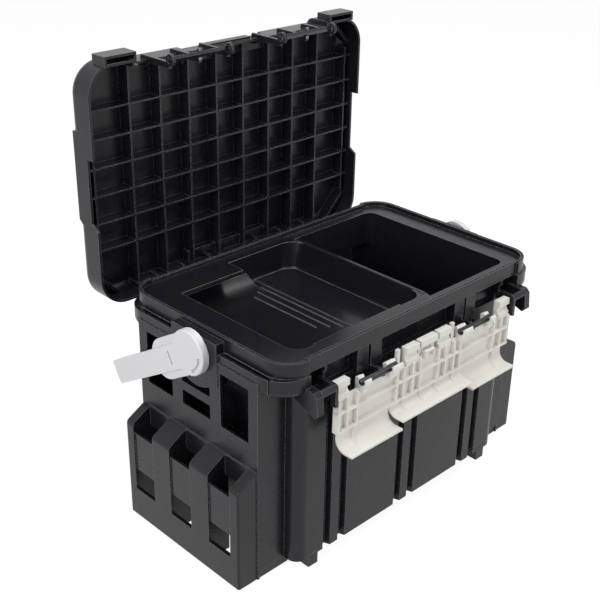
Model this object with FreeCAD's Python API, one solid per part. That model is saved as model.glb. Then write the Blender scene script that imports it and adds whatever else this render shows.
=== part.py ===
import FreeCAD
import Part
import math
import os

# Fishing seat box: ribbed moulding with rod pockets, two-way lid, two clip latches,
# carrying handle and a lift-out tray. Millimetres, +Z up, origin on the floor.

os.makedirs("parts", exist_ok=True)
V = FreeCAD.Vector

# Box body
BODY_X = 189.0
BODY_Y = 126.0
BODY_CORNER = 15.0
BODY_BOTTOM = 14.0
BODY_WALL = 4.0
INNER_Y = 116.5
INNER_CORNER = 12.0
FLOOR_THICK = 4.0

# Rim lip and the ledge inside it
RIM_X = 220.0
RIM_Y = 138.0
RIM_CORNER = 34.0
RIM_TOP = 293.0
RIM_WALL = 4.4
RIM_LOW = 268.0
RIM_SETBACK = 3.5
RIM_GROOVE = 1.6
RIM_GROOVE_DEPTH = 2.5
LEDGE_TOP = 287.0
LEDGE_THICK = 4.0
LEDGE_INSET = 3.0
MIDDLE_X = 186.0

# Outer band and side skins
BAND_X = 228.5
BAND_Y = 139.5
BAND_CORNER = 38.0
BAND_LOW = 254.0
BAND_TOP = 275.0
SKIN_X = 230.0
SKIN_Y = 104.7
SKIN_THICK = 3.0
SKIN_TOP = 265.0
BAND_ROUND = 6.0
BAND_OVERLAP = 8.0
CHANNEL_NEAR = 41.0
CHANNEL_FAR = 118.0
CHANNEL_FLOOR = 257.0
PAD_TOP = 288.0
PAD_LOW = 234.0
PAD_CLEAR = 0.4
PAD_SIDE = 2.0

# Side windows
WINDOW_NEAR = 43.0
WINDOW_FAR = 90.0
WINDOW_LOW = 185.0
WINDOW_TOP = 254.0
SLIT_HALF = 25.0
SLIT_TOP = 204.0
ARCH_LOW = 215.0
ARCH_TOP = 234.0

# Rod pockets
POCKET_X = 258.0
POCKET_Y = 103.0
POCKET_LOW = 3.0
POCKET_TOP = 153.0
POCKET_SHOULDER = 137.0
POCKET_ROUND = 8.0
POCKET_WALL = 3.0
POCKET_EDGE_ROUND = 2.5
POCKET_CAVITY_TOP = 125.0
POCKET_THROAT_LOW = 107.0
SLOT_PITCH = 70.0
SLOT_WIDTH = 38.0
SLOT_LIP_X = 231.5
SLOT_BOTTOM = 17.0
STRIP_DEPTH = 2.0
POCKET_FACE_IN = POCKET_X - POCKET_WALL - STRIP_DEPTH
STRIP_TOP = 128.0
PORT_LOW = 43.0
PORT_TOP = 72.0

# Grooves and feet
GROOVE_PITCH = 126.7
GROOVE_OFFSET = 12.7
GROOVE_WIDTH = 13.0
GROOVE_DEPTH = 7.0
GROOVE_LOW = 14.0
GROOVE_TOP = 232.0
FOOT_SIDE = 15.0
FOOT_X = 161.5

# Recess under the lip, pads and hinge line
RECESS_Y = 119.5
RECESS_LOW = 245.0
RECESS_DEEP_LOW = 250.0
RECESS_RIB_X = 158.0
RIB_THICK = 3.0
RECESS_HALF = 185.0
PAD_NEAR = 66.0
PAD_FAR = 106.0
PAD_Y = 133.0
PAD_SLOT = 4.0
HINGE_Y = 151.0
HINGE_Z = 244.5
ROD_R = 4.0
LID_OPEN = 90.0
ROD_GAP_ANGLE = 11.0
ROD_SPLIT = 0.25 * (360.0 - LID_OPEN - 2.0 * ROD_GAP_ANGLE)
LID_ROD_FACES = 90.0
BODY_ROD_FACES = LID_ROD_FACES + 180.0 - 0.5 * LID_OPEN
BODY_ROD_NEAR = 56.0
BODY_ROD_FAR = 118.0
BODY_EAR_X = 82.5
EAR_THICK = 4.0
EAR_WALL = 1.6
EAR_LIFT = 12.0

# Corner lugs
LUG_NEAR = 158.5
LUG_FAR = 182.0
LUG_NEAR_THICK = 4.0
LUG_FAR_THICK = 10.0
LUG_TIP_Z = 230.0
LUG_BAR_R = 5.0
LUG_BAR_Y = 150.0
LUG_BAR_Z = 255.0

# Lid, drawn closed and then swung open
LID_X = 225.0
LID_Y = 143.5
LID_END_Y = 151.0
LID_END_X = 158.0
LID_CORNER = 38.0
LID_WALL = 3.0
LID_TOP = 318.0
LID_ROUND = 12.0
LID_SKIRT_LOW = 278.5
LID_SKIRT_HIGH = 290.0
LID_NOTCH_Y = 41.0
LID_BLOCK_FRONT = 70.0
LID_BLOCK_BACK = 41.0
LID_BLOCK_SLOPE = 12.0
LID_RIB_LOW = 295.5
LID_RIB_THICK = 2.0
LID_COLUMNS = (22.2, 66.9, 110.9, 157.0)
LID_ROW_PITCH = 35.2
LID_ROW_COUNT = 6
LID_ROW_SHIFT = -5.5
LID_GUSSET = 34.0
LID_EARS = (43.5, 88.0, 132.0)
LID_ARM_OUT = 148.5
LID_ARM_IN = 141.0
LID_HOOK_NEAR = 158.5
LID_HOOK_FAR = 203.0
LID_HOOK_Y = 160.0
LID_HOOK_LOW = 274.0
LID_HOOK_TOP = 298.0
LID_TAB_HALF = 35.0
LID_CATCH_HALF = 67.0
LID_CATCH_Y = 129.0
LID_CATCH_Z = 307.3

# Latches, drawn hanging in front of the box
LATCH_X = 156.0
LATCH_LIP_X = 150.5
LATCH_PLATE_Y = 147.5
LATCH_THICK = 2.5
LATCH_PLATE_TOP = 236.0
LATCH_BLOCK_IN = 141.0
LATCH_BLOCK_OUT = 144.9
LATCH_BLOCK_FRONT = 150.0
LATCH_BLOCK_TOP = 257.0
LATCH_RIB_Y = 153.0
LATCH_RIB_HIGH = 218.0
LATCH_RIB_LOW = 194.5
LATCH_RIB_THICK = 2.5
LATCH_LIP_Y = 171.0
LATCH_LIP_Z = 168.0
LATCH_LIP_LIFT = 10.0
LATCH_LIP_MIDDLE = 65.0
LATCH_CURVE = 15.0
LATCH_SHOULDERS = ((131.0, 156.0), (18.5, 52.0))
LATCH_BLOCKS = ((135.5, 156.0), (18.5, 40.5))
LATCH_TONGUE = (46.5, 52.0)
LATCH_CENTRE_HALF = 15.0
LATCH_PRONGS = ((56.5, 72.0), (109.0, 117.5))
LATCH_WEBS = (153.5, 140.0, 124.0, 58.0, 46.0, 30.0, 16.5)
LATCH_GUSSETS = (128.0, 46.0, 14.0)
PRONG_WALL = 3.6
PRONG_GAP = 0.5
PRONG_OPEN = 50.0
PIN_R = 2.2
PIN_HALF = 8.0
PIN_Y = 149.8
PIN_Z = 241.0
PIN_EAR = 2.0

# Handle and its pivots
HUB_Z = 265.5
HUB_R = 27.5
HUB_IN = 231.6
HOUSING_THICK = 6.0
HOUSING_LENGTH = 52.0
HOUSING_HALF = 25.0
HOUSING_GAP = 0.3
PIVOT_R = 9.0
PIVOT_HEAD_R = 13.0
PIVOT_HEAD = 2.5
PIVOT_HEAD_CLEAR = 0.5
PIVOT_CLEAR = 0.05
PIVOT_ROOT = 6.0
ARM_CLEAR = 1.9
ARM_THICK = 8.0
ARM_IN = HUB_IN + ARM_CLEAR
ARM_OUT = ARM_IN + ARM_THICK
ARM_WIDTH = 30.0
ARM_ANGLE = 31.0
ARM_TIP_ROUND = 4.0
HUB_ROUND = 2.5
BAR_CLEAR = 1.5
BAR_WIDTH = 22.0
BAR_THICK = 8.0
BAR_WALL = 3.0
BAR_END_SEAT = 0.5
ARM_SLIT_U = 36.0
ARM_SLIT_HALF = 8.0
ARM_SLIT_WIDTH = 2.4
HUB_SLOT_R = 22.5
HUB_SLOT_WIDTH = 3.5
HUB_SLOT_MIDDLE = 242.0
HUB_SLOT_HALF = 36.0
SLIT_DEPTH = 2.5

# Lift-out tray
TRAY_LEFT = 213.0
TRAY_RIGHT = 35.0
TRAY_FLANGE_Y = 129.3
TRAY_FLANGE = 2.5
TRAY_BEAD = 5.0
TRAY_BEAD_RISE = 1.5
TRAY_GAP = 2.0
TRAY_WALL = 2.0
TRAY_FLOOR = 253.0
TRAY_DRAFT = 2.5
TRAY_RIGHT_DRAFT = 8.0
TRAY_CORNER = 20.0
SHELF_RIGHT = -83.0
SHELF_FRONT = 84.0
RAMP_RIGHT = -55.0
RAMP_TOP = 268.0
RAMP_FRONT = 70.0
RAMP_R = 65.0
RAMP_SINK = 0.3
TRAY_ROUND_OUT = 7.0
TRAY_ROUND_IN = 5.0
TRAY_BEAD_ROUND = 1.3
STEP_LEFT = -42.0
STEP_RISE = 1.5
RIDGE_X = (-50.0, -62.0, -75.0)
RIDGE_FRONT = (-57.0, -47.0, -37.0)
RIDGE_BACK = (89.0, 81.0, 72.0)
RIDGE_RISE = 1.0
RIDGE_WIDTH = 1.4
TAB_X = ((-152.0, -89.0), (-79.0, -11.0))
TAB_DEPTH = 3.0


def box(x0, x1, y0, y1, z0, z1):
    return Part.makeBox(x1 - x0, y1 - y0, z1 - z0, V(x0, y0, z0))


def slab(half_x, half_y, z0, z1, radius):
    solid = box(-half_x, half_x, -half_y, half_y, z0, z1)
    upright = [e for e in solid.Edges if abs(e.Vertexes[0].Z - e.Vertexes[-1].Z) > 0.5 * (z1 - z0)]
    return solid.makeFillet(radius, upright)


def prism(points, sweep):
    wire = Part.makePolygon(points + [points[0]])
    return Part.Face(wire).extrude(sweep)


def prism_x(points_yz, x0, x1):
    return prism([V(x0, y, z) for y, z in points_yz], V(x1 - x0, 0, 0))


def prism_y(points_xz, y0, y1):
    return prism([V(x, y0, z) for x, z in points_xz], V(0, y1 - y0, 0))


def prism_z(points_xy, z0, z1):
    return prism([V(x, y, z0) for x, y in points_xy], V(0, 0, z1 - z0))


def rod_x(y, z, radius, x0, x1):
    return Part.makeCylinder(radius, x1 - x0, V(x0, y, z), V(1, 0, 0))


def sector_x(y, z, radius, middle, half_angle, x0, x1):
    """Slice of a rod along X: middle and half_angle in degrees, 0 along +Y, 90 along +Z."""
    rod = Part.makeCylinder(radius, x1 - x0, V(x0, y, z), V(1, 0, 0))
    reach = 4.0 * radius
    spread = 180.0 - half_angle
    turns = [middle + 180.0 - spread, middle + 180.0 - spread / 3.0]
    turns += [middle + 180.0 + spread / 3.0, middle + 180.0 + spread]
    points = [(y, z)]
    for turn in turns:
        a = math.radians(turn)
        points.append((y + reach * math.cos(a), z + reach * math.sin(a)))
    return rod.cut(prism_x(points, x0, x1))


def mirror_x(shape):
    return shape.mirror(V(0, 0, 0), V(1, 0, 0))


def mirror_y(shape):
    return shape.mirror(V(0, 0, 0), V(0, 1, 0))


def join(shapes):
    return shapes[0].multiFuse(shapes[1:]).removeSplitter()


def quad(shapes):
    """The same features in all four quarters of the box."""
    pair = shapes + [mirror_x(s) for s in shapes]
    return pair + [mirror_y(s) for s in pair]


def pair_x(shapes):
    return shapes + [mirror_x(s) for s in shapes]


def pair_y(shapes):
    return shapes + [mirror_y(s) for s in shapes]


def make_tub():
    solids = [slab(BODY_X, BODY_Y, BODY_BOTTOM, LEDGE_TOP, BODY_CORNER)]
    # outer band, kept at the ends only
    band = slab(BAND_X, BAND_Y, BAND_LOW, BAND_TOP, BAND_CORNER)
    low_edges = [e for e in band.Edges if e.BoundBox.ZMax < BAND_LOW + 0.1]
    band = band.makeFillet(BAND_ROUND, low_edges)
    ledge_y = RIM_Y - RIM_SETBACK - LEDGE_INSET
    for cut in pair_y([box(-RECESS_HALF, RECESS_HALF, ledge_y, BAND_Y + 5.0, BAND_LOW - 5.0,
                           BAND_TOP + 5.0)]):
        band = band.cut(cut)
    solids.append(band)
    # rim lip with its double ridge
    lip = slab(RIM_X, RIM_Y, RIM_LOW, RIM_TOP, RIM_CORNER)
    outer_cut = [box(-MIDDLE_X, MIDDLE_X, RIM_Y - RIM_SETBACK, RIM_Y + 5.0, RIM_LOW - 1.0,
                     RIM_TOP + 1.0)]
    lip = lip.cut(join(pair_y(outer_cut)))
    solids.append(lip)
    # skins with their end webs, pockets below
    web_y = SKIN_Y - SKIN_THICK
    skin = box(SKIN_X - SKIN_THICK, SKIN_X, -SKIN_Y, SKIN_Y, POCKET_LOW, SKIN_TOP)
    web = box(BODY_X - BAND_OVERLAP, SKIN_X, web_y, SKIN_Y, BODY_BOTTOM,
              BAND_LOW + 2.0 * BAND_ROUND)
    solids += pair_x([skin] + pair_y([web]))
    # a raised pad carries the handle hub
    pad_half = CHANNEL_NEAR - PAD_SIDE
    pad = box(RIM_X - RIM_WALL, HUB_IN - PAD_CLEAR, -pad_half, pad_half, PAD_LOW, PAD_TOP)
    solids += pair_x([pad])
    pocket_in = BODY_X - BAND_OVERLAP
    pocket_points = [(pocket_in, POCKET_LOW), (POCKET_X, POCKET_LOW), (POCKET_X, POCKET_SHOULDER)]
    pocket_points += [(SKIN_X, POCKET_TOP), (pocket_in, POCKET_TOP)]
    pocket = prism_y(pocket_points, -POCKET_Y, POCKET_Y)
    front = [e for e in pocket.Edges if e.BoundBox.XMin > POCKET_X - 0.1]
    shoulder = [e for e in front if e.BoundBox.ZMin > POCKET_SHOULDER - 0.1]
    pocket = pocket.makeFillet(POCKET_ROUND, shoulder)
    front = [e for e in pocket.Edges if e.BoundBox.XMin > POCKET_X - 0.1]
    uprights = [e for e in front if e.BoundBox.ZLength > 0.5 * POCKET_SHOULDER]
    pocket = pocket.makeFillet(POCKET_EDGE_ROUND, uprights)
    solids += pair_x([pocket])
    # feet
    foot_x = FOOT_X - 0.5 * FOOT_SIDE
    foot = box(foot_x, foot_x + FOOT_SIDE, BODY_Y - FOOT_SIDE, BODY_Y + 0.5, 0.0,
               BODY_BOTTOM + FLOOR_THICK)
    solids += quad([foot])
    tub = join(solids)

    cuts = []
    # inside of the box and of the rim
    ledge_x = BODY_X - BODY_WALL
    cuts.append(slab(ledge_x, INNER_Y, BODY_BOTTOM + FLOOR_THICK, RIM_TOP + 5.0, INNER_CORNER))
    # long walls below the ledge, thick only behind the outside grooves
    low_z = BODY_BOTTOM + FLOOR_THICK
    long_walls = slab(ledge_x, BODY_Y - BODY_WALL, low_z, RECESS_LOW - BODY_WALL, INNER_CORNER)
    back_half = GROOVE_OFFSET + 0.5 * GROOVE_WIDTH + BODY_WALL
    backs = []
    for c in (-GROOVE_PITCH, 0.0, GROOVE_PITCH):
        backs += pair_y([box(c - back_half, c + back_half, INNER_Y, BODY_Y, low_z - 1.0,
                             RECESS_LOW)])
    cuts.append(long_walls.cut(join(backs)))
    rim_in = slab(RIM_X - RIM_WALL, RIM_Y - RIM_WALL, LEDGE_TOP, RIM_TOP + 5.0,
                  RIM_CORNER - RIM_WALL)
    keep = pair_y([box(-MIDDLE_X, MIDDLE_X, RIM_Y - RIM_SETBACK - RIM_WALL, RIM_Y, LEDGE_TOP - 1.0,
                       RIM_TOP + 6.0)])
    cuts.append(rim_in.cut(join(keep)))
    # groove in the rim's top
    ridge = 0.5 * (RIM_WALL - RIM_GROOVE)
    groove_low = RIM_TOP - RIM_GROOVE_DEPTH
    groove_out = slab(RIM_X - ridge, RIM_Y - ridge, groove_low, RIM_TOP + 1.0, RIM_CORNER - ridge)
    middle_out = pair_y([box(-MIDDLE_X, MIDDLE_X, RIM_Y - RIM_SETBACK - ridge, RIM_Y + 1.0,
                             groove_low - 1.0, RIM_TOP + 2.0)])
    groove_out = groove_out.cut(join(middle_out))
    groove_in = slab(RIM_X - ridge - RIM_GROOVE, RIM_Y - ridge - RIM_GROOVE, groove_low - 1.0,
                     RIM_TOP + 2.0,
                     RIM_CORNER - ridge - RIM_GROOVE)
    middle_in = pair_y([box(-MIDDLE_X - RIM_GROOVE, MIDDLE_X + RIM_GROOVE,
                            RIM_Y - RIM_SETBACK - ridge - RIM_GROOVE,
                            RIM_Y + 1.0, groove_low - 2.0, RIM_TOP + 3.0)])
    cuts.append(groove_out.cut(groove_in.cut(join(middle_in))))
    # channels between lip and band, hollow under the ledge ends
    channel = box(RIM_X + 0.4, BAND_X - SKIN_THICK, CHANNEL_NEAR, CHANNEL_FAR, CHANNEL_FLOOR,
                  BAND_TOP + 1.0)
    cuts += quad([channel])
    hollow = box(BODY_X, RIM_X - RIM_WALL, -web_y, web_y, POCKET_TOP, LEDGE_TOP - LEDGE_THICK)
    cuts += pair_x([hollow])
    hollow_out = box(RIM_X - RIM_WALL - 0.1, SKIN_X - SKIN_THICK, -web_y, web_y, POCKET_TOP,
                     PAD_LOW)
    cuts += pair_x([hollow_out])
    hollow_band = box(RIM_X - RIM_WALL - 0.1, SKIN_X - SKIN_THICK, CHANNEL_NEAR, web_y,
                      PAD_LOW - 1.0, CHANNEL_FLOOR - SKIN_THICK)
    cuts += quad([hollow_band])
    inset = RIM_WALL + 1.0
    under = slab(RIM_X - inset, RIM_Y - inset, BODY_BOTTOM, LEDGE_TOP - LEDGE_THICK,
                 RIM_CORNER - inset)
    under = under.cut(slab(BODY_X, BODY_Y, BODY_BOTTOM - 1.0, RIM_TOP, BODY_CORNER))
    under = under.cut(box(-RIM_X, RIM_X, -SKIN_Y, SKIN_Y, BODY_BOTTOM - 1.0, RIM_TOP))
    under = under.cut(box(-BODY_X, BODY_X, -RIM_Y, RIM_Y, BODY_BOTTOM - 1.0, RIM_TOP))
    cuts.append(under)
    # windows in the skins
    window = box(SKIN_X - SKIN_THICK - 1.0, SKIN_X + 1.0, WINDOW_NEAR, WINDOW_FAR, WINDOW_LOW,
                 WINDOW_TOP)
    cuts += quad([window])
    slit = box(SKIN_X - SKIN_THICK - 1.0, SKIN_X + 1.0, -SLIT_HALF, SLIT_HALF, WINDOW_LOW,
               SLIT_TOP)
    arch = box(SKIN_X - SKIN_THICK - 1.0, SKIN_X + 1.0, -SLIT_HALF, SLIT_HALF, ARCH_LOW, ARCH_TOP)
    hub_round = rod_x(0.0, HUB_Z, HUB_Z - ARCH_LOW - 6.0, SKIN_X - SKIN_THICK - 2.0, SKIN_X + 2.0)
    cuts += pair_x([slit, arch.cut(hub_round)])
    # rod slots with their strips and ports, open below
    for i in (-1, 0, 1):
        y0 = i * SLOT_PITCH - 0.5 * SLOT_WIDTH
        y1 = i * SLOT_PITCH + 0.5 * SLOT_WIDTH
        cavity = box(BODY_X + SKIN_THICK, POCKET_FACE_IN, y0, y1, POCKET_LOW - 1.0,
                     POCKET_CAVITY_TOP)
        mouth = box(SLOT_LIP_X, POCKET_X + 1.0, y0, y1, POCKET_CAVITY_TOP - 1.0, POCKET_TOP + 1.0)
        throat = box(SLOT_LIP_X, POCKET_FACE_IN, y0, y1, POCKET_THROAT_LOW, POCKET_TOP + 1.0)
        strip = box(POCKET_X - STRIP_DEPTH, POCKET_X + 1.0, y0, y1, PORT_LOW, STRIP_TOP)
        port = box(POCKET_FACE_IN - 1.0, POCKET_X + 1.0, y0, y1, PORT_LOW, PORT_TOP)
        cuts += pair_x([cavity, mouth, throat, strip, port])
    for y in (-0.5 * SLOT_PITCH, 0.5 * SLOT_PITCH):
        half = 0.5 * (SLOT_PITCH - SLOT_WIDTH) - POCKET_WALL
        core = box(BODY_X + SKIN_THICK, POCKET_X - POCKET_WALL, y - half, y + half,
                   POCKET_LOW - 1.0, POCKET_CAVITY_TOP - 2.0)
        cuts += pair_x([core])
    inner_low = box(BODY_X + SKIN_THICK, POCKET_FACE_IN, -POCKET_Y + POCKET_WALL,
                    POCKET_Y - POCKET_WALL,
                    POCKET_LOW - 1.0, SLOT_BOTTOM)
    cuts += pair_x([inner_low])
    # hollow between the body wall and the pocket fronts
    behind = box(BODY_X + SKIN_THICK, SKIN_X - SKIN_THICK, -POCKET_Y + POCKET_WALL,
                 POCKET_Y - POCKET_WALL,
                 POCKET_LOW - 1.0, POCKET_TOP - POCKET_WALL)
    cuts += pair_x([behind])
    # groove pairs in the long faces
    for c in (-GROOVE_PITCH, 0.0, GROOVE_PITCH):
        half = 0.5 * GROOVE_WIDTH
        deep = BODY_Y - GROOVE_DEPTH
        for side in (-1, 1):
            x = c + side * GROOVE_OFFSET
            points = [(x - half, BODY_Y + 1.0), (x - 0.55 * half, deep), (x + 0.55 * half, deep),
                      (x + half, BODY_Y + 1.0)]
            cuts += pair_y([prism_z(points, GROOVE_LOW - 1.0, GROOVE_TOP)])
    # recess under the lip
    rib_in = RECESS_RIB_X - 0.5 * RIB_THICK
    rib_out = RECESS_RIB_X + 0.5 * RIB_THICK
    far_y = BAND_Y + 2.0
    shallow = box(-rib_in, rib_in, RECESS_Y, far_y, RECESS_LOW, BAND_TOP)
    deep = box(rib_out, RECESS_HALF, RECESS_Y, far_y, RECESS_DEEP_LOW, BAND_TOP)
    lip_back = RIM_Y - RIM_SETBACK - RIB_THICK
    above = box(-rib_in, rib_in, RECESS_Y, lip_back, BAND_TOP - 1.0, LEDGE_TOP - LEDGE_THICK)
    cuts += pair_y([shallow, above] + pair_x([deep]))
    tub = tub.cut(join(cuts))

    # pads and ears for the hinge rods, corner lugs
    extra = []
    slot_x = 0.5 * (PAD_NEAR + PAD_FAR)
    pad_in = box(PAD_NEAR, slot_x - 0.5 * PAD_SLOT, RECESS_Y - 1.0, PAD_Y, RECESS_LOW - 1.0,
                 LEDGE_TOP - LEDGE_THICK + 1.0)
    pad_out = box(slot_x + 0.5 * PAD_SLOT, PAD_FAR, RECESS_Y - 1.0, PAD_Y, RECESS_LOW - 1.0,
                  LEDGE_TOP - LEDGE_THICK + 1.0)
    extra += [pad_in, pad_out]
    ear_points = [(BODY_Y - 2.0, HINGE_Z - EAR_LIFT), (HINGE_Y - 2.0, HINGE_Z - ROD_R - EAR_WALL)]
    ear_points += [(HINGE_Y - 2.0, HINGE_Z + ROD_R), (BODY_Y - 2.0, HINGE_Z)]
    ear = prism_x(ear_points, BODY_EAR_X - 0.5 * EAR_THICK, BODY_EAR_X + 0.5 * EAR_THICK)
    ring = rod_shell(BODY_ROD_FACES, BODY_EAR_X - 0.5 * EAR_THICK, BODY_EAR_X + 0.5 * EAR_THICK)
    ear = ear.cut(rod_x(HINGE_Y, HINGE_Z, ROD_R + EAR_WALL, BODY_EAR_X - EAR_THICK,
                        BODY_EAR_X + EAR_THICK))
    extra.append(ear.fuse(ring))
    tip_y = LUG_BAR_Y + LUG_BAR_R
    far_points = [(BODY_Y - 6.0, BAND_LOW + 8.0), (BODY_Y - 6.0, BAND_LOW - 12.0),
                  (tip_y - 2.0, LUG_TIP_Z)]
    far_points += [(tip_y + 2.0, LUG_TIP_Z + 4.0), (tip_y, LUG_BAR_Z),
                   (LUG_BAR_Y, LUG_BAR_Z + LUG_BAR_R)]
    far_lug = prism_x(far_points, LUG_FAR, LUG_FAR + LUG_FAR_THICK)
    near_points = [(BODY_Y - 2.0, LUG_BAR_Z + LUG_BAR_R), (BODY_Y - 2.0, LUG_BAR_Z - LUG_BAR_R),
                   (LUG_BAR_Y - 4.0, LUG_TIP_Z + 12.0)]
    near_points += [(LUG_BAR_Y - 2.0, LUG_TIP_Z + 2.0), (tip_y, LUG_TIP_Z + 2.0),
                    (tip_y, LUG_BAR_Z)]
    near_points += [(LUG_BAR_Y, LUG_BAR_Z + LUG_BAR_R)]
    near_lug = prism_x(near_points, LUG_NEAR, LUG_NEAR + LUG_NEAR_THICK)
    bar = rod_x(LUG_BAR_Y, LUG_BAR_Z, LUG_BAR_R, LUG_NEAR, LUG_FAR + 1.0)
    extra += [far_lug, near_lug, bar]
    tub = join([tub] + quad(extra))
    # seats of the handle pivots
    seat = rod_x(0.0, HUB_Z, PIVOT_R, SKIN_X - PIVOT_ROOT, HUB_IN + 1.0)
    return tub.cut(join(pair_x([seat])))


def body_rod_half(x0, x1):
    """Rear rod of the box: the sector that faces the box, clear of the turning lid rod."""
    return sector_x(HINGE_Y, HINGE_Z, ROD_R, BODY_ROD_FACES, ROD_SPLIT, x0, x1)


def lid_rod_half(x0, x1):
    """Rear rod of the closed lid: the upper sector."""
    return sector_x(HINGE_Y, HINGE_Z, ROD_R, LID_ROD_FACES, ROD_SPLIT, x0, x1)


def rod_shell(faces, x0, x1):
    """End of an ear, moulded round the outside of a rod sector."""
    shell = sector_x(HINGE_Y, HINGE_Z, ROD_R + EAR_WALL, faces, ROD_SPLIT, x0, x1)
    return shell.cut(rod_x(HINGE_Y, HINGE_Z, ROD_R, x0 - 1.0, x1 + 1.0))


def make_lid():
    outer = slab(LID_X, LID_END_Y, LID_SKIRT_LOW, LID_TOP, LID_CORNER)
    crown = [e for e in outer.Edges if e.BoundBox.ZMin > LID_TOP - 0.1]
    outer = outer.makeFillet(LID_ROUND, crown)
    block_points = [(-LID_BLOCK_FRONT, LID_TOP - LID_ROUND - 4.0),
                    (LID_BLOCK_BACK + LID_BLOCK_SLOPE, LID_TOP - LID_ROUND - 4.0)]
    block_points += [(LID_BLOCK_BACK, LID_TOP - 2.0), (-LID_BLOCK_FRONT, LID_TOP - 2.0)]
    block = prism_x(block_points, LID_X - LID_ROUND - 4.0, LID_X)
    outer = join([outer] + pair_x([block]))
    side_cut = pair_y([box(-LID_END_X, LID_END_X, LID_Y, LID_END_Y + 5.0, LID_SKIRT_LOW - 1.0,
                           LID_TOP + 1.0)])
    outer = outer.cut(join(side_cut))
    inner = slab(LID_X - LID_WALL, LID_END_Y - LID_WALL, LID_SKIRT_LOW - 1.0, LID_TOP - LID_WALL,
                 LID_CORNER - LID_WALL)
    inner_top = [e for e in inner.Edges if e.BoundBox.ZMin > LID_TOP - LID_WALL - 0.1]
    inner = inner.makeFillet(LID_ROUND - 1.5, inner_top)
    inner_keep = pair_y([box(-LID_END_X - LID_WALL, LID_END_X + LID_WALL, LID_Y - LID_WALL,
                             LID_END_Y, LID_SKIRT_LOW - 2.0, LID_TOP)])
    inner = inner.cut(join(inner_keep))
    # recess in the top edge for the raised part of the latch lip
    seat = box(-LID_CATCH_HALF - LID_WALL, LID_CATCH_HALF + LID_WALL, LID_CATCH_Y - LID_WALL,
               LID_Y, LID_CATCH_Z - LID_WALL, LID_TOP - 1.0)
    recess = box(-LID_CATCH_HALF, LID_CATCH_HALF, LID_CATCH_Y, LID_Y + 1.0, LID_CATCH_Z,
                 LID_TOP + 1.0)
    shell = outer.cut(inner.cut(join(pair_y([seat]))))
    # skirt raised over the hub pads and along the hinge sides
    notch_points = [(-LID_NOTCH_Y, LID_SKIRT_LOW - 1.0), (LID_NOTCH_Y + 8.0, LID_SKIRT_LOW - 1.0)]
    notch_points += [(LID_NOTCH_Y, LID_SKIRT_HIGH), (-LID_NOTCH_Y, LID_SKIRT_HIGH)]
    notch = prism_x(notch_points, -LID_X - 1.0, LID_X + 1.0)
    along = pair_y([box(-LID_END_X + 4.0, LID_END_X - 4.0, LID_Y - LID_WALL - 1.0, LID_Y + 1.0,
                        LID_SKIRT_LOW - 1.0, LID_SKIRT_HIGH)])
    shell = shell.cut(join([notch] + along))
    # rib grid, ending inside the walls
    skin = 0.5 * LID_WALL
    grid_room = slab(LID_X - skin, LID_END_Y - skin, LID_SKIRT_LOW, LID_TOP - skin,
                     LID_CORNER - skin)
    crown = [e for e in grid_room.Edges if e.BoundBox.ZMin > LID_TOP - skin - 0.1]
    grid_room = grid_room.makeFillet(LID_ROUND - 0.5 * skin, crown)
    half = 0.5 * LID_RIB_THICK
    rib_top = LID_TOP - LID_WALL + 1.0
    ribs = []
    for x in LID_COLUMNS:
        ribs += pair_x([box(x - half, x + half, -LID_Y + 1.0, LID_Y - 1.0, LID_RIB_LOW, rib_top)])
    for i in range(LID_ROW_COUNT):
        y = LID_ROW_SHIFT + (i - 0.5 * (LID_ROW_COUNT - 1)) * LID_ROW_PITCH
        ribs.append(box(-LID_X + 1.5, LID_X - 1.5, y - half, y + half, LID_RIB_LOW, rib_top))
    side_x = LID_X - LID_ROUND - half
    ribs += pair_x([box(side_x, side_x + LID_RIB_THICK, -LID_Y + LID_CORNER, LID_Y - LID_CORNER,
                        LID_RIB_LOW, rib_top)])
    # diagonal gussets in the corners
    gx = LID_X - LID_WALL
    gy = LID_END_Y - LID_WALL
    gusset = prism_z([(gx - LID_GUSSET, gy), (gx - LID_GUSSET - 3.0, gy - 3.0),
                      (gx - 3.0, gy - LID_GUSSET - 3.0), (gx, gy - LID_GUSSET)],
                     LID_RIB_LOW + 3.0, rib_top)
    ribs = [rib.common(grid_room) for rib in ribs + quad([gusset])]
    # hooks over the corner lugs, thumb tab in the middle
    hook = box(LID_HOOK_NEAR, LID_HOOK_FAR, LID_END_Y - LID_WALL, LID_HOOK_Y, LID_HOOK_LOW,
               LID_HOOK_TOP)
    hook = hook.cut(box(LID_HOOK_NEAR + 3.0, LID_HOOK_FAR - 3.0, LID_END_Y, LID_HOOK_Y - 3.0,
                        LID_HOOK_LOW - 1.0, LID_HOOK_TOP - 3.0))
    tab = box(-LID_TAB_HALF, LID_TAB_HALF, LID_Y - 1.0, LID_Y + 2.5, LID_RIB_LOW,
              LID_TOP - LID_ROUND)
    parts = [shell] + ribs + pair_x([mirror_y(hook)]) + pair_y([tab])
    # ears that carry the lid rods
    for x in LID_EARS:
        x0 = x - 0.5 * EAR_THICK
        x1 = x + 0.5 * EAR_THICK
        arm_points = [(LID_ARM_OUT, HINGE_Z + 1.0), (LID_ARM_OUT, LID_SKIRT_HIGH + 10.0),
                      (LID_ARM_IN - 6.0, LID_SKIRT_HIGH + 14.0)]
        arm_points += [(LID_ARM_IN - 6.0, LID_SKIRT_HIGH + 5.0),
                       (LID_ARM_IN, LID_SKIRT_HIGH - 8.0), (LID_ARM_IN, HINGE_Z + 1.0)]
        arm = prism_x(arm_points, x0, x1)
        ring = rod_shell(LID_ROD_FACES, x0, x1)
        arm = arm.cut(rod_x(HINGE_Y, HINGE_Z, ROD_R + EAR_WALL, x0 - 1.0, x1 + 1.0))
        parts += quad([arm.fuse(ring)])
    return join(parts).cut(join(pair_y([recess])))


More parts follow.
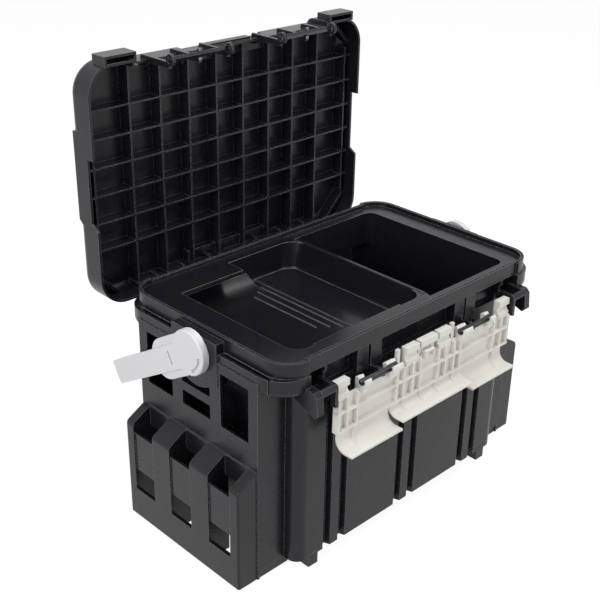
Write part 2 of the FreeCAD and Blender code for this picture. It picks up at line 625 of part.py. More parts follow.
def make_front_latch():
    """Clip latch hanging from the front rods, its hollow side outwards."""
    y_in = -(LATCH_PLATE_Y - LATCH_THICK)
    y_out = -LATCH_PLATE_Y
    parts = [box(-LATCH_X, LATCH_X, y_out, y_in, LATCH_RIB_LOW - 1.0, LATCH_PLATE_TOP)]
    # curved lip, lifted in the middle third
    sections = ((-LATCH_LIP_X, -LATCH_LIP_MIDDLE, 0.0),
                (-LATCH_LIP_MIDDLE, LATCH_LIP_MIDDLE, LATCH_LIP_LIFT))
    sections += ((LATCH_LIP_MIDDLE, LATCH_LIP_X, 0.0),)
    for x0, x1, lift in sections:
        z = LATCH_LIP_Z + lift
        centre_y = y_in - LATCH_CURVE
        centre_z = z + LATCH_CURVE
        curve = rod_x(centre_y, centre_z, LATCH_CURVE, x0, x1)
        curve = curve.cut(rod_x(centre_y, centre_z, LATCH_CURVE - LATCH_THICK, x0 - 1.0, x1 + 1.0))
        parts.append(curve.common(box(x0, x1, centre_y, y_in, z, centre_z)))
        parts.append(box(x0, x1, -LATCH_LIP_Y, centre_y, z, z + LATCH_THICK))
        parts.append(box(x0, x1, y_out, y_in, centre_z, LATCH_RIB_LOW))
    half = 0.5 * LATCH_RIB_THICK
    # long ribs and webs
    for z in (LATCH_RIB_HIGH, LATCH_RIB_LOW):
        parts.append(box(-LATCH_X, LATCH_X, -LATCH_RIB_Y, y_in, z - half, z + half))
    for x in LATCH_WEBS:
        parts += pair_x([box(x - half, x + half, -LATCH_RIB_Y, y_in, LATCH_RIB_LOW,
                             LATCH_PLATE_TOP)])
    for x in LATCH_GUSSETS:
        z = LATCH_LIP_Z + (LATCH_LIP_LIFT if x < LATCH_LIP_MIDDLE else 0.0)
        points = [(y_in, LATCH_RIB_LOW), (-LATCH_RIB_Y, LATCH_RIB_LOW),
                  (-LATCH_RIB_Y + 2.0, z + 9.0)]
        points += [(y_in - LATCH_CURVE + 3.0, z + 3.5), (y_in - LATCH_CURVE - 3.0, z + 1.0),
                   (y_in - 4.0, z + 6.0), (y_in, z + LATCH_CURVE)]
        parts += pair_x([prism_x(points, x - 0.8, x + 0.8)])
    # top blocks, centre block between two slits
    for x0, x1 in LATCH_BLOCKS:
        parts += pair_x([box(x0, x1, -LATCH_BLOCK_FRONT, -LATCH_BLOCK_IN, LATCH_PLATE_TOP - 3.0,
                             LATCH_BLOCK_TOP)])
    tongue = box(LATCH_TONGUE[0], LATCH_TONGUE[1], -LATCH_BLOCK_OUT, -LATCH_BLOCK_IN,
                 LATCH_PLATE_TOP - 3.0, LATCH_BLOCK_TOP)
    parts += pair_x([tongue])
    for x0, x1 in LATCH_SHOULDERS:
        parts += pair_x([box(x0, x1, y_out, -LATCH_BLOCK_IN, LATCH_PLATE_TOP - 4.0,
                             LATCH_PLATE_TOP)])
    half_c = LATCH_CENTRE_HALF
    parts.append(box(-half_c, half_c, -LATCH_BLOCK_FRONT, -LATCH_BLOCK_IN, PIN_Z + PIN_R + 2.0,
                     LATCH_BLOCK_TOP))
    parts.append(box(-half_c, half_c, -LATCH_BLOCK_OUT, -LATCH_BLOCK_IN, LATCH_PLATE_TOP - 3.0,
                     LATCH_BLOCK_TOP))
    parts.append(box(-half_c, half_c, y_out, -LATCH_BLOCK_IN, LATCH_PLATE_TOP - 4.0,
                     LATCH_PLATE_TOP))
    # prongs round the rods, open at the top
    for x0, x1 in LATCH_PRONGS:
        inner_r = ROD_R + PRONG_GAP
        ring = rod_x(-HINGE_Y, HINGE_Z, inner_r + PRONG_WALL, x0,
                     x1).cut(rod_x(-HINGE_Y, HINGE_Z, inner_r, x0 - 1.0, x1 + 1.0))
        reach = 3.0 * inner_r
        spread = reach * math.tan(math.radians(PRONG_OPEN))
        mouth = prism_x([(-HINGE_Y, HINGE_Z), (-HINGE_Y + spread, HINGE_Z + reach),
                         (-HINGE_Y - spread, HINGE_Z + reach)], x0 - 1.0, x1 + 1.0)
        neck = box(x0, x1, -HINGE_Y - 3.0, -LATCH_BLOCK_IN, LATCH_PLATE_TOP - 4.0,
                   HINGE_Z - inner_r)
        neck = neck.cut(rod_x(-HINGE_Y, HINGE_Z, inner_r, x0 - 1.0, x1 + 1.0))
        back = box(x0, x1, -HINGE_Y + inner_r + 0.5, -LATCH_BLOCK_IN, LATCH_PLATE_TOP - 4.0,
                   HINGE_Z + 3.0)
        parts += pair_x([ring.cut(mouth), neck, back])
    latch = join(parts)
    # ears and bore of the middle pin
    ears = []
    for x0 in (-PIN_HALF, PIN_HALF - PIN_EAR):
        ears.append(box(x0, x0 + PIN_EAR, -PIN_Y - PIN_R - 1.0, y_in, LATCH_PLATE_TOP - 4.0,
                        PIN_Z + PIN_R + 1.0))
    latch = join([latch] + ears)
    latch = latch.cut(rod_x(-PIN_Y, PIN_Z, PIN_R, -PIN_HALF - 1.0, PIN_HALF + 1.0))
    # the whole latch stays clear of the rods' line
    return latch.cut(rod_x(-HINGE_Y, HINGE_Z, ROD_R + PRONG_GAP, -LATCH_X - 1.0, LATCH_X + 1.0))


def make_pin():
    return rod_x(-PIN_Y, PIN_Z, PIN_R, -PIN_HALF, PIN_HALF)


def to_rear(shape):
    """Front latch part turned to the rear one: closed on the closed lid, then swung open with it."""
    rear = mirror_y(shape)
    rear.rotate(V(0, HINGE_Y, HINGE_Z), V(1, 0, 0), 180.0)
    return open_lid(rear)


def open_lid(shape):
    shape.rotate(V(0, HINGE_Y, HINGE_Z), V(1, 0, 0), -LID_OPEN)
    return shape


def swing_arm(shape):
    """From the arm drawn along +Y to its resting slope."""
    shape.rotate(V(0, 0, HUB_Z), V(1, 0, 0), -ARM_ANGLE)
    return shape


def bar_radius():
    """Hub to crossbar, so that the resting bar clears the back of the box."""
    slope = math.radians(ARM_ANGLE)
    near = (BODY_Y + BAR_CLEAR + 0.5 * BAR_WIDTH * math.sin(slope)) / math.cos(slope)
    return near + 0.5 * BAR_THICK


def stadium(half, length, x0, x1):
    """Plate with one round nose, from the hub along +Y."""
    disc = rod_x(0.0, HUB_Z, HUB_R, x0, x1)
    middle = box(x0, x1, 0.0, length, HUB_Z - half, HUB_Z + half)
    nose = rod_x(length, HUB_Z, half, x0, x1)
    return join([disc, middle, nose])


def make_arm_right():
    radius = bar_radius()
    end = radius + 0.5 * BAR_THICK
    face_in = HUB_IN + HOUSING_THICK + HOUSING_GAP
    plate = box(ARM_IN, ARM_OUT, 0.0, end, HUB_Z - 0.5 * ARM_WIDTH, HUB_Z + 0.5 * ARM_WIDTH)
    tips = [e for e in plate.Edges if e.BoundBox.YMin > end - 0.1 and e.BoundBox.XLength > 1.0]
    plate = plate.makeFillet(ARM_TIP_ROUND, tips)
    disc = rod_x(0.0, HUB_Z, HUB_R, face_in, ARM_OUT)
    rim = [e for e in disc.Edges if e.BoundBox.XMin > ARM_OUT - 0.1]
    disc = disc.makeFillet(HUB_ROUND, rim)
    arm = join([plate, disc])
    room = stadium(HOUSING_HALF + HOUSING_GAP, HOUSING_LENGTH, ARM_IN - 1.0, face_in)
    arm = arm.cut(room)
    slit = box(ARM_OUT - SLIT_DEPTH, ARM_OUT + 1.0, ARM_SLIT_U - 0.5 * ARM_SLIT_WIDTH,
               ARM_SLIT_U + 0.5 * ARM_SLIT_WIDTH,
               HUB_Z - ARM_SLIT_HALF, HUB_Z + ARM_SLIT_HALF)
    slot = sector_x(0.0, HUB_Z, HUB_SLOT_R, HUB_SLOT_MIDDLE, HUB_SLOT_HALF, ARM_OUT - SLIT_DEPTH,
                    ARM_OUT + 1.0)
    slot = slot.cut(rod_x(0.0, HUB_Z, HUB_SLOT_R - HUB_SLOT_WIDTH, ARM_IN, ARM_OUT + 2.0))
    # seat of the crossbar
    socket = box(ARM_IN - 1.0, ARM_IN + BAR_END_SEAT, radius - 0.5 * BAR_THICK,
                 radius + 0.5 * BAR_THICK,
                 HUB_Z - 0.5 * BAR_WIDTH, HUB_Z + 0.5 * BAR_WIDTH)
    return swing_arm(arm.cut(join([slit, slot, socket])))


def make_grip():
    half = ARM_IN + BAR_END_SEAT
    near = bar_radius() - 0.5 * BAR_THICK
    grip = box(-half, half, near, near + BAR_THICK, HUB_Z - 0.5 * BAR_WIDTH,
               HUB_Z + 0.5 * BAR_WIDTH)
    end = 2.0 * BAR_WALL
    hollow = box(-half + end, half - end, near - 1.0, near + BAR_THICK - BAR_WALL,
                 HUB_Z - 0.5 * BAR_WIDTH + BAR_WALL, HUB_Z + 0.5 * BAR_WIDTH - BAR_WALL)
    return swing_arm(grip.cut(hollow))


def make_pivot_right():
    head_out = HUB_IN + HOUSING_THICK - HOUSING_GAP
    shaft = rod_x(0.0, HUB_Z, PIVOT_R, SKIN_X - PIVOT_ROOT, head_out - PIVOT_HEAD)
    head = rod_x(0.0, HUB_Z, PIVOT_HEAD_R, head_out - PIVOT_HEAD, head_out)
    return shaft.fuse(head).removeSplitter()


def make_housing_right():
    """Back half of the hub, turning on the pivot; the arm's face closes it."""
    outer = HUB_IN + HOUSING_THICK
    housing = stadium(HOUSING_HALF, HOUSING_LENGTH, HUB_IN, outer)
    housing = housing.cut(rod_x(0.0, HUB_Z, PIVOT_R + PIVOT_CLEAR, HUB_IN - 1.0, outer + 1.0))
    seat = outer - HOUSING_GAP - PIVOT_HEAD - HOUSING_GAP
    return swing_arm(housing.cut(rod_x(0.0, HUB_Z, PIVOT_HEAD_R + PIVOT_HEAD_CLEAR, seat,
                                       outer + 1.0)))


def outline(x0, x1, y0, y1, z, radius):
    """Closed rounded rectangle at height z."""
    face = Part.Face(Part.makePolygon([V(x0, y0, z), V(x1, y0, z), V(x1, y1, z), V(x0, y1, z),
                                       V(x0, y0, z)]))
    solid = face.extrude(V(0, 0, 1.0))
    upright = [e for e in solid.Edges if e.BoundBox.ZLength > 0.5]
    solid = solid.makeFillet(radius, upright)
    for f in solid.Faces:
        if f.BoundBox.ZMax < z + 0.1:
            return f.OuterWire


def basin(inset, z_low, z_top):
    """Tapered block of the tray's hollow, grown outwards by minus inset."""
    low = TRAY_FLOOR
    high = LEDGE_TOP + TRAY_FLANGE
    left = -(BODY_X - BODY_WALL - TRAY_GAP) + TRAY_WALL + inset
    right = TRAY_RIGHT - TRAY_BEAD - inset
    side = INNER_Y - TRAY_GAP - TRAY_WALL - inset
    wires = []
    for z in (z_low, z_top):
        t = (high - z) / (high - low)
        x0 = left + t * TRAY_DRAFT
        x1 = right - t * TRAY_RIGHT_DRAFT
        y1 = side - t * TRAY_DRAFT
        wires.append(outline(x0, x1, -y1, y1, z, TRAY_CORNER - inset))
    return Part.makeLoft(wires, True, True)


def make_tray():
    base = LEDGE_TOP
    top = base + TRAY_FLANGE
    flange_half = 0.5 * (TRAY_RIGHT + TRAY_LEFT)
    shift = 0.5 * (TRAY_RIGHT - TRAY_LEFT)
    flange = slab(flange_half, TRAY_FLANGE_Y, base, top, TRAY_CORNER)
    flange.translate(V(shift, 0, 0))
    low = TRAY_FLOOR - TRAY_WALL
    outer = basin(-TRAY_WALL, low, base + 0.5)
    bottom = [e for e in outer.Edges if e.BoundBox.ZMax < low + 0.1]
    outer = outer.makeFillet(TRAY_ROUND_OUT, bottom)
    hollow = basin(0.0, TRAY_FLOOR, top + 1.0)
    floor_edges = [e for e in hollow.Edges if e.BoundBox.ZMax < TRAY_FLOOR + 0.1]
    hollow = hollow.makeFillet(TRAY_ROUND_IN, floor_edges)
    # raised bead along the free right side
    end_y = TRAY_FLANGE_Y - TRAY_CORNER
    bead = box(TRAY_RIGHT - TRAY_BEAD, TRAY_RIGHT, -end_y, end_y, top - 0.5, top + TRAY_BEAD_RISE)
    crown = [e for e in bead.Edges if e.BoundBox.ZMin > top and e.BoundBox.YLength > 1.0]
    bead = bead.makeFillet(TRAY_BEAD_ROUND, crown)
    tray = join([outer, flange]).cut(hollow)
    # shelf over the back left, curved ramp below it, stepped floor with thin ridges
    inside = basin(-0.5 * TRAY_WALL, low + 0.5, top)
    extras = [box(-TRAY_LEFT + TRAY_CORNER, SHELF_RIGHT, SHELF_FRONT, INNER_Y, base, top)]
    ramp = box(-BODY_X, RAMP_RIGHT, RAMP_FRONT, INNER_Y, TRAY_FLOOR - 1.0, RAMP_TOP)
    sweep = rod_x(RAMP_FRONT, TRAY_FLOOR + RAMP_R - RAMP_SINK, RAMP_R, -BODY_X - 1.0,
                  RAMP_RIGHT + 1.0)
    extras.append(ramp.cut(sweep))
    extras.append(box(STEP_LEFT, TRAY_RIGHT, -INNER_Y, INNER_Y, TRAY_FLOOR - 1.0,
                      TRAY_FLOOR + STEP_RISE))
    half = 0.5 * RIDGE_WIDTH
    for x, y0, y1 in zip(RIDGE_X, RIDGE_FRONT, RIDGE_BACK):
        extras.append(box(x - half, x + half, y0, y1, TRAY_FLOOR - 1.0, TRAY_FLOOR + RIDGE_RISE))
    for x0, x1 in TAB_X:
        extras.append(box(x0, x1, -INNER_Y, -INNER_Y + TRAY_GAP + TRAY_WALL + TAB_DEPTH, base,
                          top))
    return join([tray, bead] + [e.common(inside) for e in extras])


def export(shape, name):
    shape.exportStep("parts/" + name + ".step")


def main():
    export(make_tub(), "tub")
    export(open_lid(make_lid()), "lid")
    rear_left = body_rod_half(-BODY_ROD_FAR, -BODY_ROD_NEAR)
    rear_right = body_rod_half(BODY_ROD_NEAR, BODY_ROD_FAR)
    export(rear_left, "rear_hinge_rod_left")
    export(rear_right, "rear_hinge_rod_right")
    export(mirror_y(rear_left), "front_hinge_rod_left")
    export(mirror_y(rear_right), "front_hinge_rod_right")
    rod_near = LID_EARS[0] - 0.5 * EAR_THICK
    rod_far = LID_EARS[-1] + 0.5 * EAR_THICK
    for side, x0, x1 in (("left", -rod_far, -rod_near), ("right", rod_near, rod_far)):
        export(open_lid(lid_rod_half(x0, x1)), "lid_rear_rod_" + side)
        export(open_lid(mirror_y(lid_rod_half(x0, x1))), "lid_front_rod_" + side)
    export(make_front_latch(), "front_latch")
    export(make_pin(), "front_latch_pin")
    export(to_rear(make_front_latch()), "rear_latch")
    export(to_rear(make_pin()), "rear_latch_pin")
    export(make_arm_right(), "handle_arm_right")
    export(mirror_x(make_arm_right()), "handle_arm_left")
    export(make_grip(), "handle_grip")
    export(make_pivot_right(), "handle_pivot_right")
    export(mirror_x(make_pivot_right()), "handle_pivot_left")
    export(make_housing_right(), "hub_housing_right")
    export(mirror_x(make_housing_right()), "hub_housing_left")
    export(make_tray(), "inner_tray")


main()
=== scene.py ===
# %% [markdown]
# # A fishing seat box
# The object is a black moulded box that people also sit on: a ribbed lid that opens to either
# side, a lift-out tray, rod pockets at both ends, two pale clip latches and a white handle.
# This first step loads the engineering model. Its pieces are already in the right place and size,
# in metres, so the rest of the lesson only gives them their finish and adds the small details.

# %% Load the engineering model
import math
import bpy
from mathutils import Matrix, Vector


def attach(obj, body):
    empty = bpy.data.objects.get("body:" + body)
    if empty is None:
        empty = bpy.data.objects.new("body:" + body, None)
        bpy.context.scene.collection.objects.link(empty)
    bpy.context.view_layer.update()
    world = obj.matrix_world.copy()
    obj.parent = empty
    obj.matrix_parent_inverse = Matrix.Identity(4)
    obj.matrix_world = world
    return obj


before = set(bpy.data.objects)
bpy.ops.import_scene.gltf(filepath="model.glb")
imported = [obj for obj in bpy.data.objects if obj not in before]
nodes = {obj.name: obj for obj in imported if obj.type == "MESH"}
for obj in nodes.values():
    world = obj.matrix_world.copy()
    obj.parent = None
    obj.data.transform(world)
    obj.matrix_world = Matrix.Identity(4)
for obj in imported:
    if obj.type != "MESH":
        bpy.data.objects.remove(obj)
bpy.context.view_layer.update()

# %% [markdown]
# The camera stands to the left of the front, looking down at the open box, because that is how
# the product picture was taken. Its direction is written as three angles, and a small function
# turns them into the camera's own axes. The other way is a camera that tracks a target object,
# but three angles also hold the slight roll.

# %% Camera
CAMERA_PLACE = (-0.87086, -0.81701, 0.84211)
CAMERA_AZIMUTH = -44.56
CAMERA_ELEVATION = 26.39
CAMERA_ROLL = 1.00
CAMERA_LENS_MM = 63.55
CAMERA_SENSOR_MM = 36.0
CAMERA_NEAR = 0.01


def camera_axes(azimuth, elevation, roll):
    az, el, ro = (math.radians(v) for v in (azimuth, elevation, roll))
    back = Vector((math.sin(az) * math.cos(el), -math.cos(az) * math.cos(el), math.sin(el)))
    right = (-back).cross(Vector((0, 0, 1))).normalized()
    up = right.cross(-back)
    rolled_right = right * math.cos(ro) + up * math.sin(ro)
    rolled_up = up * math.cos(ro) - right * math.sin(ro)
    return Matrix((rolled_right, rolled_up, back)).transposed()


bpy.ops.object.camera_add(location=CAMERA_PLACE)
camera = bpy.context.object
camera.name = "camera"
camera.data.lens = CAMERA_LENS_MM
camera.data.sensor_width = CAMERA_SENSOR_MM
camera.data.clip_start = CAMERA_NEAR
camera.rotation_euler = camera_axes(CAMERA_AZIMUTH, CAMERA_ELEVATION, CAMERA_ROLL).to_euler()
bpy.context.scene.camera = camera
bpy.context.scene.view_settings.view_transform = "Standard"
print("camera at", tuple(round(v, 3) for v in camera.location))

# %% [markdown]
# Materials come next. One function turns a colour from the sRGB hex that a paint chart would
# give into the linear value that the shader wants, and one small function adds a node with its
# settings and its links, so that each material below reads as a short list of steps.

# %% Colour and node helpers


def linear(hex_colour):
    parts = [int(hex_colour[i:i + 2], 16) / 255.0 for i in (1, 3, 5)]
    parts = [c / 12.92 if c <= 0.04045 else ((c + 0.055) / 1.055) ** 2.4 for c in parts]
    return (*parts, 1.0)


def add(tree, kind, settings=None, values=None, links=None):
    made = tree.nodes.new(kind)
    for name, value in (settings or {}).items():
        setattr(made, name, value)
    for name, value in (values or {}).items():
        made.inputs[name].default_value = value
    for name, source in (links or {}).items():
        tree.links.new(source, made.inputs[name])
    return made


def fresh(name):
    made = bpy.data.materials.new(name)
    made.use_nodes = True
    made.node_tree.nodes.clear()
    return made, made.node_tree


def coarse(mm):
    """Noise scale, in cycles per metre, for a pattern whose grains are this far apart."""
    return 1000.0 / mm


print("white is", linear("#ffffff"), "and a 1 mm grain has scale", coarse(1.0))

# %% [markdown]
# Every piece of this box is injection moulded, so one recipe serves them all. Real edges are
# never sharp, and a rounded edge always catches some light. The CAD edges are sharp, so a bevel
# node rounds them for the shader only. Where the rounded direction leaves the flat one, the piece
# has an edge, and that difference is the mask of a painted highlight: a lighter colour on every
# edge that stands in for the light its rounding catches.

# %% Rounded edges and the mask of their painted highlight
EDGE_STARTS = 0.995
EDGE_FULL = 0.86
EDGE_SAMPLES = 4


def edge_rounding_and_highlight_mask(tree, edge_mm):
    rounded = add(tree, "ShaderNodeBevel", {"samples": EDGE_SAMPLES}, {"Radius": edge_mm / 1000.0})
    flat = add(tree, "ShaderNodeNewGeometry").outputs["True Normal"]
    facing = add(tree, "ShaderNodeVectorMath", {"operation": "DOT_PRODUCT"},
                 links={0: rounded.outputs["Normal"], 1: flat})
    # This mask marks where the painted edge highlight goes: 0 on flat faces, rising to 1 on edges.
    mask = add(tree, "ShaderNodeMapRange",
               values={"From Min": EDGE_STARTS, "From Max": EDGE_FULL, "To Min": 0.0, "To Max": 1.0},
               links={"Value": facing.outputs["Value"]})
    return rounded.outputs["Normal"], mask.outputs["Result"]


print("an edge shows from", round(math.degrees(math.acos(EDGE_STARTS)), 1), "degrees apart")

# %% [markdown]
# The rest of the recipe is what the mould and the flow of the plastic leave. The flow gives faint
# clouds of colour and a slight waviness, about 7 cm apart. Handling rubs the gloss unevenly, in
# patches about 9 mm wide. The mould's own texture is a fine grain, which only bends the light.
# An image of a worn surface would do the same, but noise needs no file and has no seams.

# %% A recipe for moulded plastic
PLASTIC_IOR = 1.49
CLOUD_MM = 70.0
RUBBED_MM = 9.0
RUBBED_FROM = 0.3
RUBBED_TO = 0.7


def moulded_plastic(name, colour, cloud_colour, edge_highlight_colour, roughness, uneven, grain_mm, grain_depth_mm,
                    edge_mm, waviness_mm=0.0, specular=0.5):
    made, tree = fresh(name)
    place = add(tree, "ShaderNodeTexCoord").outputs["Object"]
    clouds = add(tree, "ShaderNodeTexNoise",
                 values={"Scale": coarse(CLOUD_MM), "Detail": 4.0, "Roughness": 0.55},
                 links={"Vector": place}).outputs["Fac"]
    rubbed = add(tree, "ShaderNodeTexNoise",
                 values={"Scale": coarse(RUBBED_MM), "Detail": 5.0, "Roughness": 0.6},
                 links={"Vector": place}).outputs["Fac"]
    grain = add(tree, "ShaderNodeTexNoise",
                values={"Scale": coarse(grain_mm), "Detail": 2.0, "Roughness": 0.6},
                links={"Vector": place}).outputs["Fac"]
    rounded, edge = edge_rounding_and_highlight_mask(tree, edge_mm)
    body = add(tree, "ShaderNodeMix", {"data_type": "RGBA"}, {6: linear(colour), 7: linear(cloud_colour)},
               {0: clouds})
    # Painted highlight: near edges the colour is mixed towards a lighter edge colour, standing in for the
    # light that rounded edges catch.
    edge_highlighted = add(tree, "ShaderNodeMix", {"data_type": "RGBA"}, {7: linear(edge_highlight_colour)},
               {0: edge, 6: body.outputs[2]})
    shine = add(tree, "ShaderNodeMapRange",
                values={"From Min": RUBBED_FROM, "From Max": RUBBED_TO, "To Min": roughness - uneven,
                        "To Max": roughness + uneven},
                links={"Value": rubbed})
    bump = add(tree, "ShaderNodeBump", values={"Strength": 1.0, "Distance": grain_depth_mm / 1000.0},
               links={"Height": grain, "Normal": rounded})
    if waviness_mm:
        bump = add(tree, "ShaderNodeBump", values={"Strength": 1.0, "Distance": waviness_mm / 1000.0},
                   links={"Height": clouds, "Normal": bump.outputs["Normal"]})
    shader = add(tree, "ShaderNodeBsdfPrincipled",
                 values={"IOR": PLASTIC_IOR, "Specular IOR Level": specular},
                 links={"Base Color": edge_highlighted.outputs[2], "Roughness": shine.outputs["Result"],
                        "Normal": bump.outputs["Normal"]})
    add(tree, "ShaderNodeOutputMaterial", links={"Surface": shader.outputs["BSDF"]})
    return made


def dress(material, *names):
    for name in names:
        piece = nodes[name]
        piece.data.materials.clear()
        piece.data.materials.append(material)
    print(material.name, "on", ", ".join(names))


# %% [markdown]
# The box and the lid are black polypropylene from a spark-eroded mould. The erosion leaves a fine
# even grain that scatters the light, so the walls look dark grey rather than black and their
# highlights are broad. The grain of a real mould is about 0.3 mm; here it is 0.8 mm so that it
# still shows at the picture's size.

# %% Box and lid: black moulded polypropylene
# The light grey #8f8f97 is a painted highlight on the edges.
black_moulded = moulded_plastic("black_polypropylene_spark_eroded", "#19181d", "#1f1e23", "#8f8f97",
                                roughness=0.27, uneven=0.05, grain_mm=0.8, grain_depth_mm=0.010,
                                edge_mm=0.6, waviness_mm=0.4, specular=0.30)
dress(black_moulded, "tub", "lid")

# %% [markdown]
# The tray is the same plastic from a polished mould, so it is the glossiest black piece of the
# box, and its grain is shallow and wide.

# %% Tray: glossy black polypropylene
# The light grey #a2a2aa is a painted highlight on the edges.
black_polished = moulded_plastic("black_polypropylene_polished", "#161519", "#1a191d", "#a2a2aa",
                                 roughness=0.20, uneven=0.04, grain_mm=2.5, grain_depth_mm=0.005,
                                 edge_mm=0.8, waviness_mm=0.3, specular=0.30)
dress(black_polished, "inner_tray")

# %% [markdown]
# The hinge rods are separate acetal pieces: harder, smoother and a little shinier than the shell.

# %% Rods: black acetal
# The light grey #9a9aa2 is a painted highlight on the edges.
black_acetal = moulded_plastic("black_acetal_smooth", "#19181c", "#1f1e22", "#9a9aa2",
                               roughness=0.22, uneven=0.04, grain_mm=1.5, grain_depth_mm=0.006, edge_mm=0.4)
dress(black_acetal, *[name for name in nodes if "rod" in name])

# %% [markdown]
# The handle is white ABS with a satin surface, slightly cool in tone. Its hub housings and
# pivots are moulded in the same plastic.

# %% Handle: white satin ABS
# The near-white #efeff1 is a painted highlight on the edges.
white_abs = moulded_plastic("white_abs_satin", "#d8d8dc", "#d2d2d6", "#efeff1",
                            roughness=0.36, uneven=0.05, grain_mm=0.9, grain_depth_mm=0.015,
                            edge_mm=0.8, waviness_mm=0.2)
dress(white_abs, *[name for name in nodes if name.startswith(("handle", "hub"))])

# %% [markdown]
# The latches are pale grey polypropylene, warmer and a little duller than the handle.

# %% Latches: pale warm grey polypropylene
# The pale #efede8 is a painted highlight on the edges.
pale_moulded = moulded_plastic("pale_grey_polypropylene_satin", "#e6e4de", "#dedbd4", "#efede8",
                               roughness=0.40, uneven=0.05, grain_mm=0.9, grain_depth_mm=0.02,
                               edge_mm=0.6, waviness_mm=0.2)
dress(pale_moulded, *[name for name in nodes if "latch" in name])

# %% [markdown]
# Each ear of the lid ends in a rounded disc that the hinge rod runs through. It could be a torus,
# but its rim is flat with small rounds, so it starts as a cylinder across the hinge line. First
# come its measures, and a helper that selects faces or edges by a test, which stands for picking
# them by hand.

# %% Measures of the discs, and a way to pick faces
HINGE_Y = 0.1510
HINGE_Z = 0.2445
FRONT_ROD_LIFT = 0.302
EAR_INNER = 0.0435
EAR_MIDDLE = 0.0880
EAR_OUTER = 0.1320
DISC_RADIUS = 0.0074
DISC_BORE = 0.00405
DISC_WIDTH = 0.0042
DISC_ROUND = 0.0008
DISC_SIDES = 40
DISC_SPLIT = 0.0003


def pick(test, kind):
    """Select only the faces or edges of the piece in edit mode that pass the test."""
    bpy.ops.mesh.select_mode(type="FACE" if kind == "faces" else "EDGE")
    bpy.ops.mesh.select_all(action="DESELECT")
    bpy.ops.object.mode_set(mode="OBJECT")
    mesh = bpy.context.object.data
    for item in (mesh.polygons if kind == "faces" else mesh.edges):
        item.select = test(item, mesh)
    bpy.ops.object.mode_set(mode="EDIT")


def is_end(face, mesh):
    return abs(face.normal.x) > 0.9


def is_rim(edge, mesh):
    one, two = (mesh.vertices[i].co for i in edge.vertices)
    nearest = min(math.hypot(v.y - HINGE_Y, v.z - HINGE_Z) for v in (one, two))
    return abs(one.x - two.x) < 1e-5 and nearest > 0.9 * DISC_RADIUS


print("a disc is", round(2000.0 * DISC_RADIUS, 1), "mm across")

# %% [markdown]
# The disc itself: the two ends of the cylinder are inset and bridged, which opens the bore, and
# the rims are bevelled. Bridging two insets keeps the wall clean, where a boolean cut would leave
# long thin faces.

# %% One disc


def model_disc(name, x):
    bpy.ops.object.select_all(action="DESELECT")
    bpy.ops.mesh.primitive_cylinder_add(vertices=DISC_SIDES, radius=DISC_RADIUS, depth=DISC_WIDTH,
                                        end_fill_type="NGON", location=(x, HINGE_Y, HINGE_Z),
                                        rotation=(0.0, math.radians(90.0), 0.0))
    disc = bpy.context.object
    disc.name = name
    bpy.ops.object.transform_apply(location=True, rotation=True, scale=True)
    bpy.ops.object.mode_set(mode="EDIT")
    pick(is_end, "faces")
    bpy.ops.mesh.inset(thickness=DISC_RADIUS - DISC_BORE, use_individual=True)
    bpy.ops.mesh.bridge_edge_loops()
    pick(is_rim, "edges")
    bpy.ops.mesh.bevel(offset=DISC_ROUND, segments=3)
    bpy.ops.mesh.select_all(action="SELECT")
    bpy.ops.mesh.normals_make_consistent(inside=False)
    bpy.ops.object.mode_set(mode="OBJECT")
    bpy.ops.object.shade_smooth_by_angle(angle=math.radians(35.0))
    print(name, "has", len(disc.data.polygons), "faces")
    return disc


inner_disc = model_disc("lid_ear_disc_inner", EAR_INNER)
outer_disc = model_disc("lid_ear_disc_outer", EAR_OUTER)

# %% [markdown]
# The middle ear of each row sits beside a rod of the box, so its disc is only the half that
# belongs to the lid: the box's rod has to leave the other half free. It is cut along the hinge
# line and filled.

# %% The half disc of the middle ears
middle_disc = model_disc("lid_ear_disc_middle", EAR_MIDDLE)
bpy.ops.object.mode_set(mode="EDIT")
bpy.ops.mesh.select_all(action="SELECT")
bpy.ops.mesh.bisect(plane_co=(0.0, HINGE_Y + DISC_SPLIT, 0.0), plane_no=(0.0, 1.0, 0.0),
                    use_fill=True, clear_inner=True)
bpy.ops.object.mode_set(mode="OBJECT")
print("the half disc has", len(middle_disc.data.polygons), "faces")

# %% [markdown]
# The lid has two rows of ears, rear and front, and each row has the same ears left and right, so
# the three discs are copied to twelve places. Each copy has its own mesh. All of them turn with
# the lid and take the shell's finish, because they are one moulding with it.

# %% Twelve discs on the lid's ears


def set_copy(master, name, shift):
    copy = master.copy()
    copy.data = master.data.copy()
    copy.name = name
    copy.data.transform(Matrix.Translation(shift))
    bpy.context.scene.collection.objects.link(copy)
    return copy


discs = []
for word, master, x in (("inner", inner_disc, EAR_INNER), ("outer", outer_disc, EAR_OUTER),
                        ("middle", middle_disc, EAR_MIDDLE)):
    for row, lift in (("rear", 0.0), ("front", FRONT_ROD_LIFT)):
        for side, shift in (("right", 0.0), ("left", -2.0 * x)):
            discs.append(set_copy(master, f"lid_{row}_{word}_disc_{side}", (shift, 0.0, lift)))
    bpy.data.objects.remove(master)
for disc in discs:
    disc.data.materials.append(black_moulded)
    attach(disc, "lid")
print("discs on the lid's ears:", len(discs))

# %% [markdown]
# The stage is a plain white sweep and a white room. To the camera and in reflections it shows
# white; the light that it really sends to the object is set apart, so that the colours render
# about as they are written. Both parts of the stage need to know when they are only looked at,
# and one helper tells them.

# %% Seen or lighting


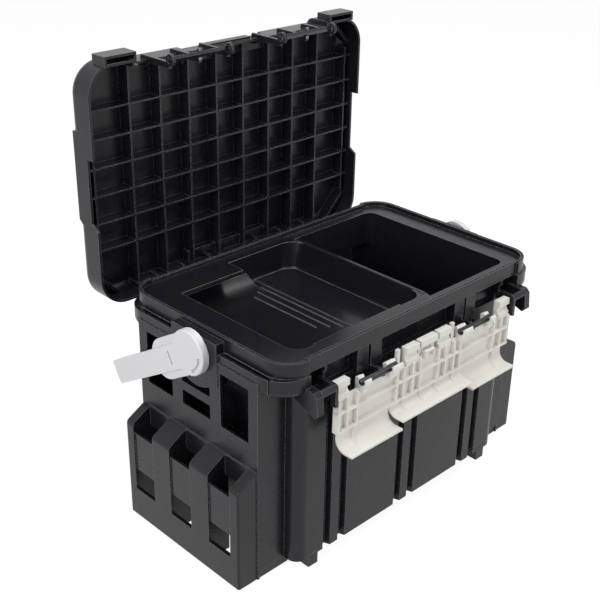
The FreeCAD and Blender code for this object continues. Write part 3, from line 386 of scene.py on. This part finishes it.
def only_seen(tree):
    """1 for rays from the camera, a reflection or a see-through piece, 0 for light on the object."""
    path = add(tree, "ShaderNodeLightPath")
    direct = add(tree, "ShaderNodeMath", {"operation": "MAXIMUM"},
                 links={0: path.outputs["Is Camera Ray"], 1: path.outputs["Is Glossy Ray"]})
    both = add(tree, "ShaderNodeMath", {"operation": "MAXIMUM"},
               links={0: direct.outputs[0], 1: path.outputs["Is Transmission Ray"]})
    return both.outputs[0]


# %% [markdown]
# The floor is white paper. It lies half a millimetre low, so that it doesn't flicker against the
# feet. Where it is looked at it glows a little, but keeps a faint shaded part, so the object's
# shadow still falls on it.

# %% Floor
FLOOR_SIZE = 14.0
FLOOR_DROP = 0.0005
PAPER_GLOW = 0.92

bpy.ops.object.select_all(action="DESELECT")
bpy.ops.mesh.primitive_plane_add(size=FLOOR_SIZE, location=(0, 0, -FLOOR_DROP))
floor = bpy.context.object
floor.name = "studio_floor"
paper, tree = fresh("studio_white_paper")
matt = add(tree, "ShaderNodeBsdfDiffuse", values={"Color": linear("#e0e0e0")})
faint = add(tree, "ShaderNodeBsdfDiffuse", values={"Color": linear("#707070")})
glow = add(tree, "ShaderNodeEmission", values={"Color": (1, 1, 1, 1), "Strength": PAPER_GLOW})
bright = add(tree, "ShaderNodeAddShader", links={0: faint.outputs[0], 1: glow.outputs[0]})
mixed = add(tree, "ShaderNodeMixShader",
            links={0: only_seen(tree), 1: matt.outputs[0], 2: bright.outputs[0]})
add(tree, "ShaderNodeOutputMaterial", links={"Surface": mixed.outputs[0]})
floor.data.materials.append(paper)
print("floor of", FLOOR_SIZE, "m with", paper.name)

# %% [markdown]
# The room is the world around the object. Its light is weak, so that the lamps give the shape,
# and to the camera it is plain white.

# %% Room
ROOM_LIGHT = 0.30
ROOM_SEEN = 1.0

world = bpy.data.worlds.new("white_room")
bpy.context.scene.world = world
world.use_nodes = True
tree = world.node_tree
tree.nodes.clear()
level = add(tree, "ShaderNodeMapRange", values={"To Min": ROOM_LIGHT, "To Max": ROOM_SEEN},
            links={"Value": only_seen(tree)})
room = add(tree, "ShaderNodeBackground", values={"Color": (1, 1, 1, 1)},
           links={"Strength": level.outputs["Result"]})
add(tree, "ShaderNodeOutputWorld", links={"Surface": room.outputs[0]})
print("room light", ROOM_LIGHT, "seen as", ROOM_SEEN)

# %% [markdown]
# Three soft boxes light the object: one over it, one from the left, one from the front. Large
# lamps give the broad soft highlights of the product picture.

# %% Soft boxes
LIT_POINT = Vector((0, 0, 0.25))


def soft_box(name, place, size, watts):
    bpy.ops.object.light_add(type="AREA", location=place)
    lamp = bpy.context.object
    lamp.name = name
    lamp.data.size = size
    lamp.data.energy = watts
    lamp.rotation_euler = (LIT_POINT - Vector(place)).to_track_quat("-Z", "Y").to_euler()
    print(name, "at", place, watts, "W")


soft_box("soft_box_top", (0.2, -0.1, 2.0), size=1.6, watts=26.0)
soft_box("soft_box_left", (-2.0, -0.3, 1.1), size=1.3, watts=22.0)
soft_box("soft_box_front", (0.6, -2.2, 1.0), size=1.3, watts=13.0)
